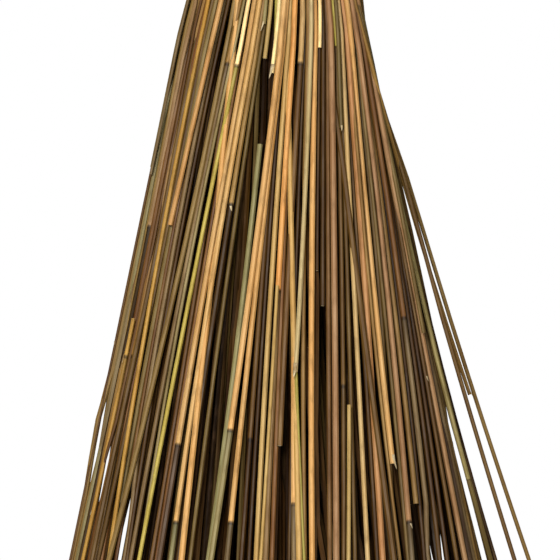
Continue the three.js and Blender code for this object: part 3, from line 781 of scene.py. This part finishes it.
def wind_rope(name, node, rope_radius):
    """Three strands twisted into a rope, wound as a helix that fills the node's height."""
    low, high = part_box(node)
    wound_radius = (high.x - low.x) / 2 - rope_radius * 0.95
    first, last = low.z + rope_radius, high.z - rope_radius
    pitch = 2 * rope_radius
    turns = (last - first) / pitch
    tuck_angle = 0.5
    strand_radius = 0.52 * rope_radius
    strand_offset = 0.50 * rope_radius
    twist_length = 6.4 * rope_radius
    step_angle = twist_length / RINGS_PER_TWIST / wound_radius
    steps = int((2 * math.pi * turns + 2 * tuck_angle) / step_angle)
    phase = np.linspace(-tuck_angle, 2 * math.pi * turns + tuck_angle, steps)
    tucked = np.clip(np.maximum(-phase, phase - 2 * math.pi * turns) / tuck_angle, 0, 1)
    along = phase * wound_radius
    outward = np.array([np.cos(phase + ROPE_START), np.sin(phase + ROPE_START), np.zeros(steps)])
    upward = np.array([[0.0], [0.0], [1.0]]) * np.ones(steps)
    centre = outward * (wound_radius - 3.2 * rope_radius * tucked**1.5)
    centre[2] = first + np.clip(phase, 0, 2 * math.pi * turns) / (2 * math.pi) * pitch
    ring = np.arange(STRAND_SIDES) / STRAND_SIDES * 2 * math.pi
    points, yarn, faces = [], [], []
    for strand in range(STRANDS):
        twist = 2 * math.pi * (along / twist_length + strand / STRANDS)
        middle = centre + strand_offset * (outward * np.cos(twist) + upward * np.sin(twist))
        base = len(points)
        for k in range(steps):
            around = ring + twist[k]
            spoke = outward[:, k, None] * np.cos(around) + upward[:, k, None] * np.sin(around)
            points.extend((middle[:, k, None] + strand_radius * spoke).T)
            wound = ring - along[k] / (1.1 * twist_length) * 2 * math.pi
            yarn.extend(zip(strand_radius * np.cos(wound), strand_radius * np.sin(wound),
                            np.full(STRAND_SIDES, along[k] + strand)))
        for k in range(steps - 1):
            for j in range(STRAND_SIDES):
                a = base + STRAND_SIDES * k + j
                b = base + STRAND_SIDES * k + (j + 1) % STRAND_SIDES
                faces.append((a, b, b + STRAND_SIDES, a + STRAND_SIDES))
        faces.append(tuple(base + j for j in reversed(range(STRAND_SIDES))))
        faces.append(tuple(base + STRAND_SIDES * (steps - 1) + j for j in range(STRAND_SIDES)))
    mesh = bpy.data.meshes.new(name)
    mesh.from_pydata([tuple(p) for p in points], [], faces)
    rope = bpy.data.objects.new(name, mesh)
    bpy.context.collection.objects.link(rope)
    fibres = mesh.attributes.new("yarn", "FLOAT_VECTOR", "POINT")
    fibres.data.foreach_set("vector", np.array(yarn).ravel())
    pick(rope)
    bpy.ops.object.mode_set(mode="EDIT")
    bpy.ops.mesh.select_all(action="SELECT")
    bpy.ops.mesh.normals_make_consistent(inside=False)
    bpy.ops.object.mode_set(mode="OBJECT")
    bpy.ops.object.shade_smooth()
    fit(rope, node, "torch", jute)


wind_rope("waist_rope", "waist_lashing", 3.5 * MM)
wind_rope("top_rope", "top_lashing", 2.5 * MM)

# ------------------------------------------------------------
# Cup: drawn from 1.2 mm sheet steel with a turned-out lip, and powder coated. It stands
# on the culm, held down by one galvanised screw and washer into the plug.

# Powder coat: satin black skin with a faint orange peel, lighter where rubbed.
powder_coat, powder_face = surface("black powder coat")
coat_place = wire(powder_coat, "TexCoord", {}).outputs["Object"]
peel = wire(powder_coat, "TexNoise", {"Vector": coat_place, "Scale": 900, "Detail": 1.0})
rubbed, coat_tone = mottled(powder_coat, coat_place, {"Scale": 70, "Detail": 6.0,
    "Roughness": 0.7}, 0.5, 0.75, linear("#1d1c1b"), linear("#3b3733"))
coat_rough = wire(powder_coat, "MapRange", {"Value": rubbed, "From Min": 0.3, "From Max": 0.7,
    "To Min": 0.36, "To Max": 0.58})
peel_bump = wire(powder_coat, "Bump", {"Height": peel, "Strength": 0.12, "Distance": 0.2 * MM})
feed(powder_coat, powder_face, {"Base Color": coat_tone, "Roughness": coat_rough,
    "Normal": peel_bump, "IOR": 1.5})


def turned(name, node, profile, steps=96, rounding=0.25):
    """Spins a profile about the torch's axis; its points are radius, and height above the
    node's underside, in millimetres. Its hard edges are then rounded."""
    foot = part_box(node)[0].z
    bpy.ops.object.select_all(action="DESELECT")
    bpy.ops.mesh.primitive_plane_add(size=MM, location=(0, 0, 0))
    spun = bpy.context.object
    spun.name = name
    bpy.ops.object.mode_set(mode="EDIT")
    bpy.ops.mesh.select_mode(type="VERT")
    bpy.ops.mesh.select_all(action="SELECT")
    bpy.ops.mesh.merge(type="CENTER")
    bpy.ops.transform.translate(value=(profile[0][0] * MM, 0, foot + profile[0][1] * MM))
    for (r0, z0), (r1, z1) in zip(profile, profile[1:] + profile[:1]):
        step = ((r1 - r0) * MM, 0, (z1 - z0) * MM)
        bpy.ops.mesh.extrude_region_move(TRANSFORM_OT_translate={"value": step})
    bpy.ops.mesh.select_all(action="SELECT")
    bpy.ops.mesh.remove_doubles(threshold=0.004 * MM)
    bpy.ops.mesh.select_all(action="SELECT")
    bpy.ops.mesh.spin(steps=steps, angle=2 * math.pi, center=(0, 0, 0), axis=(0, 0, 1))
    bpy.ops.mesh.select_all(action="SELECT")
    bpy.ops.mesh.remove_doubles(threshold=0.004 * MM)
    bpy.ops.mesh.normals_make_consistent(inside=False)
    bpy.ops.object.mode_set(mode="OBJECT")
    if rounding:
        bevel = spun.modifiers.new("edges", "BEVEL")
        bevel.width = rounding * MM
        bevel.segments = 2
        bevel.limit_method = "ANGLE"
        bevel.angle_limit = math.radians(40)
        bpy.ops.object.modifier_apply(modifier="edges")
    bpy.ops.object.shade_smooth_by_angle(angle=math.radians(38))
    return spun


cup = turned("cup", "canister_cup", [
    (2.7, 0), (43.2, 0), (44.6, 0.5), (45.3, 1.6), (45.4, 3), (45.4, 78.4), (45.7, 79.3),
    (46.5, 79.8), (51.4, 79.8), (52.0, 80.2), (52.0, 80.6), (51.4, 81), (46.2, 81), (44.9, 80.4),
    (44.2, 79.2), (44.2, 3.2), (43.9, 1.9), (42.9, 1.2), (2.7, 1.2),
], rounding=0)
fit(cup, "canister_cup", "torch", powder_coat)
refinish("cup_washer", zinc)
refinish("cup_screw", zinc)

# ------------------------------------------------------------
# Drip plate: a pressed steel ring under the cup's lip that keeps oil and flame off the
# cane tops. Two stamped grooves stiffen it, and its edge is rolled.

plate = turned("drip_tray", "drip_plate", [
    (45.8, 1.76), (72.0, 1.76), (73.4, 1.5), (74.3, 0.7), (75.2, 0.1), (76.3, 0.1), (77.3, 0.7),
    (77.9, 1.7), (78.0, 2.5), (77.6, 3.3), (76.8, 3.75), (75.9, 3.6), (75.0, 3.2), (74.0, 3.16),
    (68.6, 3.16), (68.1, 2.75), (67.2, 2.75), (66.7, 3.16), (58.6, 3.16), (58.1, 2.75),
    (57.2, 2.75), (56.7, 3.16), (45.8, 3.16),
], steps=128, rounding=0.15)
fit(plate, "drip_plate", "torch", powder_coat)

# ------------------------------------------------------------
# Oil can: a drawn tinplate body with two stiffening beads and a pressed-up floor, and a
# conical shoulder with a threaded neck, seamed to it. It lifts out of the cup to be filled.

# Tinplate: bright, with drawing lines round the can and a few dull smears of old oil.
tinplate, tin_face = surface("drawn tinplate")
tin_place = wire(tinplate, "TexCoord", {}).outputs["Object"]
draw_place = wire(tinplate, "Mapping", {"Vector": tin_place, "Scale": (25, 25, 2600)})
draw_lines = wire(tinplate, "TexNoise", {"Vector": draw_place, "Scale": 1.0, "Detail": 2.0})
smears, tin_tone = mottled(tinplate, tin_place, {"Scale": 38, "Detail": 5.0, "Roughness": 0.6},
    0.46, 0.72, linear("#cfd1d1"), linear("#9d968a"))
tin_rough = wire(tinplate, "MapRange", {"Value": smears, "From Min": 0.3, "From Max": 0.75,
    "To Min": 0.18, "To Max": 0.5})
tin_bump = wire(tinplate, "Bump", {"Height": draw_lines, "Strength": 0.08, "Distance": 0.1 * MM})
feed(tinplate, tin_face, {"Base Color": tin_tone, "Metallic": 1.0, "Roughness": tin_rough,
    "Normal": tin_bump})

can = turned("oil_can", "canister_body", [
    (0, 6), (32.6, 6), (33.8, 5.0), (35.0, 0.9), (36.0, 0), (40.2, 0), (41.5, 0.6), (42, 2),
    (42, 17), (41.4, 18.2), (41.4, 19.8), (42, 21), (42, 66), (41.4, 67.2), (41.4, 68.8), (42, 70),
    (42, 87.5), (40.6, 87.5), (40.6, 3.0), (40.2, 1.9), (39.2, 1.4), (36.8, 1.4), (36.2, 2.0),
    (34.9, 6.4), (33.8, 7.4), (0, 7.4),
], rounding=0)
fit(can, "canister_body", "canister", tinplate)
shoulder = turned("can_shoulder", "canister_top", [
    (40, 0), (42.7, 0), (43.2, 0.5), (43.2, 2.7), (42.7, 3.2), (42.0, 3.2), (41.5, 2.8),
    (40.7, 1.9), (39.6, 1.75), (31, 2.8), (25, 3.6), (21.4, 4.3), (19.6, 5.2), (19, 6.6),
    (19, 7.4), (19.35, 7.9), (19, 8.4), (19, 9.9), (19.35, 10.4), (19, 10.9), (19, 12.4),
    (19.35, 12.9), (19, 13.4), (19, 14.1), (18.6, 14.5), (17.8, 14.5), (17.4, 14.1), (17.4, 5.4),
    (18.6, 4.0), (24.4, 2.1),
], rounding=0)
fit(shoulder, "canister_top", "canister", tinplate)

# ------------------------------------------------------------
# Screw lid, pressed from steel and powder coated, with eighteen grip flutes round its
# skirt, and the nitrile ring that seals it on the neck.

# Nitrile rubber: matt black, faintly mottled by talc.
nitrile, nitrile_face = surface("nitrile rubber")
talc_place = wire(nitrile, "TexCoord", {}).outputs["Object"]
talc_tone = mottled(nitrile, talc_place, {"Scale": 500, "Detail": 3.0}, 0.0, 1.0,
    linear("#141414"), linear("#2b2b2a"))[1]
feed(nitrile, nitrile_face, {"Base Color": talc_tone, "Roughness": 0.8})
refinish("lid_gasket", nitrile)

LID_STEPS = 108
lid = turned("screw_lid", "burner_lid", [
    (7.85, 9.6), (19.7, 9.6), (19.7, 0), (22.2, 0), (22.6, 0.5), (22.6, 1.2), (22.6, 9.2),
    (22.3, 10.3), (21.2, 11), (10.2, 11), (9.8, 10.85), (7.85, 10.85),
], steps=LID_STEPS, rounding=0)
bpy.ops.object.mode_set(mode="EDIT")
bpy.ops.mesh.select_mode(type="FACE")
bpy.ops.mesh.select_all(action="DESELECT")
bpy.ops.object.mode_set(mode="OBJECT")
skirt_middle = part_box("burner_lid")[0].z + 5.2 * MM
for face in lid.data.polygons:
    at = face.center
    sector = int(math.atan2(at.y, at.x) % (2 * math.pi) / (2 * math.pi) * LID_STEPS)
    skirt = abs(at.z - skirt_middle) < 1 * MM and math.hypot(at.x, at.y) > 22 * MM
    face.select = skirt and sector % 6 < 2
bpy.ops.object.mode_set(mode="EDIT")
bpy.ops.mesh.inset(thickness=0.35 * MM, depth=-0.75 * MM)
bpy.ops.object.mode_set(mode="OBJECT")
bpy.ops.object.shade_smooth_by_angle(angle=math.radians(30))
fit(lid, "burner_lid", "lid", powder_coat)

# ------------------------------------------------------------
# Wick tube: drawn brass, with a flange that rests on the lid and a bead near its mouth.

# Brass: warm yellow, browned in patches by heat and fingers, more towards the flame.
brass, brass_face = surface("tarnished brass")
brass_place = wire(brass, "TexCoord", {}).outputs["Object"]
tarnish, brass_tone = mottled(brass, brass_place, {"Scale": 160, "Detail": 5.0, "Roughness": 0.6},
    0.42, 0.72, linear("#d2a64c"), linear("#7a5526"))
brass_rough = wire(brass, "MapRange", {"Value": tarnish, "From Min": 0.3, "From Max": 0.7,
    "To Min": 0.2, "To Max": 0.48})
feed(brass, brass_face, {"Base Color": brass_tone, "Metallic": 1.0, "Roughness": brass_rough})
tube = turned("brass_wick_tube", "wick_tube", [
    (6.35, 0), (7.55, 0), (7.55, 24.3), (12.7, 24.3), (13, 24.6), (13, 25.2), (12.7, 25.5),
    (9.0, 25.5), (8.0, 25.9), (7.55, 26.8), (7.55, 41.2), (7.95, 41.7), (8.1, 42.3), (7.95, 42.9),
    (7.55, 43.4), (7.55, 45.7), (7.3, 46), (6.6, 46), (6.35, 45.7),
], steps=72, rounding=0)
fit(tube, "wick_tube", "lid", brass)

# ------------------------------------------------------------
# Wick: round braided cotton, pushed up through the tube by hand, charred at its tip.

# Cotton braid: cream yarns about 1.5 mm wide crossing each other, oil-stained above the
# tube and black where it has burned.
cotton, cotton_face = surface("braided cotton")
cotton_place = wire(cotton, "TexCoord", {}).outputs["Object"]
BRAID_SLANT = 0.6
braids = []
for lean in (BRAID_SLANT, -BRAID_SLANT):
    slanted = wire(cotton, "Mapping", {"Vector": cotton_place, "Rotation": (lean, lean, 0)})
    braids.append(wire(cotton, "TexWave", {"Vector": slanted, "Scale": 150},
                       bands_direction="Z"))
braid = wire(cotton, "Math", {0: braids[0].outputs["Fac"], 1: braids[1].outputs["Fac"]},
    operation="MAXIMUM")
wick_low, wick_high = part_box("wick")
height_in = wire(cotton, "SeparateXYZ", {0: cotton_place})
char = wire(cotton, "MapRange", {"Value": height_in.outputs["Z"], "From Min": wick_high.z - 5 * MM,
    "From Max": wick_high.z - 1.5 * MM})
braid_tone = wire(cotton, "Mix", {0: braid, 6: linear("#a8987a"), 7: linear("#e6ddc8")},
    data_type="RGBA")
charred = wire(cotton, "Mix", {0: char, 6: braid_tone.outputs[2], 7: linear("#15120f")},
    data_type="RGBA")
braid_bump = wire(cotton, "Bump", {"Height": braid, "Strength": 0.8, "Distance": 0.5 * MM})
feed(cotton, cotton_face, {"Base Color": charred.outputs[2], "Roughness": 0.95,
    "Normal": braid_bump})
WICK_LENGTH = (wick_high.z - wick_low.z) / MM
wick = turned("cotton_wick", "wick", [
    (0, 0), (5.6, 0), (6, 0.6), (6, WICK_LENGTH - 3), (5.8, WICK_LENGTH - 1.4),
    (5.1, WICK_LENGTH - 0.4), (4.2, WICK_LENGTH), (2.0, WICK_LENGTH - 0.7), (0, WICK_LENGTH - 0.3),
], steps=40, rounding=0)
fit(wick, "wick", "wick", cotton)

# ------------------------------------------------------------
# Snuffer: a spun steel bell that stands over the wick tube when the torch is out, with a
# turned beech knob screwed on from inside.

snuffer = turned("snuffer_bell", "snuffer_cap", [
    (11.2, 0.2), (11.4, 0), (12.4, 0), (12.6, 0.3), (12.6, 2.6), (12.3, 3.6), (11.5, 4.9),
    (11.05, 6.0), (10.9, 8.0), (10.4, 34.5), (10.1, 37.2), (9.2, 40.2), (7.6, 42.7), (5.6, 44.3),
    (4, 44.9), (1.7, 45), (1.7, 43.6), (4, 43.5), (5.6, 42.4), (7.4, 40.0), (8.6, 37.0),
    (8.95, 34.5), (9.5, 8.0), (9.65, 6.0), (10.4, 4.4), (11.2, 2.9),
], steps=72, rounding=0)
fit(snuffer, "snuffer_cap", "snuffer", powder_coat)
refinish("snuffer_screw", zinc)
knob = turned("beech_knob", "snuffer_knob", [
    (1.5, 0), (3.7, 0), (4.0, 0.35), (3.9, 0.9), (3.6, 1.6), (3.55, 2.4), (3.9, 3.3), (4.8, 4.4),
    (5.9, 5.4), (6.6, 6.2), (7.0, 7.2), (7.0, 8.2), (6.7, 9.4), (6.0, 10.9), (4.9, 12.3),
    (3.5, 13.3), (1.8, 13.85), (0, 14), (0, 10.1), (1.5, 10.1),
], steps=64, rounding=0)
fit(knob, "snuffer_knob", "snuffer", beech)

# ------------------------------------------------------------
# Studio: a pale floor, a soft front light a little to the left and above, a fill and a
# back light, and a camera at the sheaf's own height.

bpy.ops.object.select_all(action="DESELECT")
bpy.ops.mesh.primitive_circle_add(vertices=96, radius=1.5, fill_type="NGON", location=(0, 0, 0))
floor = bpy.context.object
floor.name = "studio_floor"
paper, paper_face = surface("matt studio paper")
feed(paper, paper_face, {"Base Color": linear("#f2f1ee"), "Roughness": 0.9})
floor.data.materials.append(paper)

VIEW_CENTRE = Vector((0.00165, 0.0, 0.304))  # on the sheaf, between its waist and foot
LAMP_WHITE = linear("#fffaf2")[:3]


def softbox(name, at, size, power):
    bpy.ops.object.light_add(type="AREA", location=at)
    box = bpy.context.object
    box.name = name
    box.data.size = size
    box.data.energy = power
    box.data.color = LAMP_WHITE
    box.rotation_euler = (VIEW_CENTRE - Vector(at)).to_track_quat("-Z", "Y").to_euler()


softbox("key_light", (-0.7, -3.0, 1.3), 1.0, 128)
softbox("fill_light", (2.0, -2.6, 0.8), 1.4, 14)
softbox("back_light", (0.6, 2.8, 1.6), 1.4, 80)

ROOM_LIGHT = 0.11  # the white room is dim for the torch, and plain white to the camera
world = bpy.data.worlds.new("studio")
bpy.context.scene.world = world
world.use_nodes = True
ray = wire(world, "LightPath", {})
level = wire(world, "MapRange", {"Value": ray.outputs["Is Camera Ray"], "To Min": ROOM_LIGHT,
    "To Max": 1.0})
feed(world, world.node_tree.nodes["Background"], {"Color": (1, 1, 1, 1), "Strength": level})
bpy.context.scene.view_settings.view_transform = "Standard"

CAMERA_DISTANCE = 8.0
VIEW_WIDTH = 0.308
SENSOR_WIDTH = 36  # millimetres, as the lens is
bpy.ops.object.camera_add(location=VIEW_CENTRE - Vector((0, CAMERA_DISTANCE, 0)),
                          rotation=(math.pi / 2, 0, 0))
camera = bpy.context.object
camera.data.sensor_width = SENSOR_WIDTH
camera.data.lens = SENSOR_WIDTH * CAMERA_DISTANCE / VIEW_WIDTH
camera.data.clip_end = 40
bpy.context.scene.camera = camera
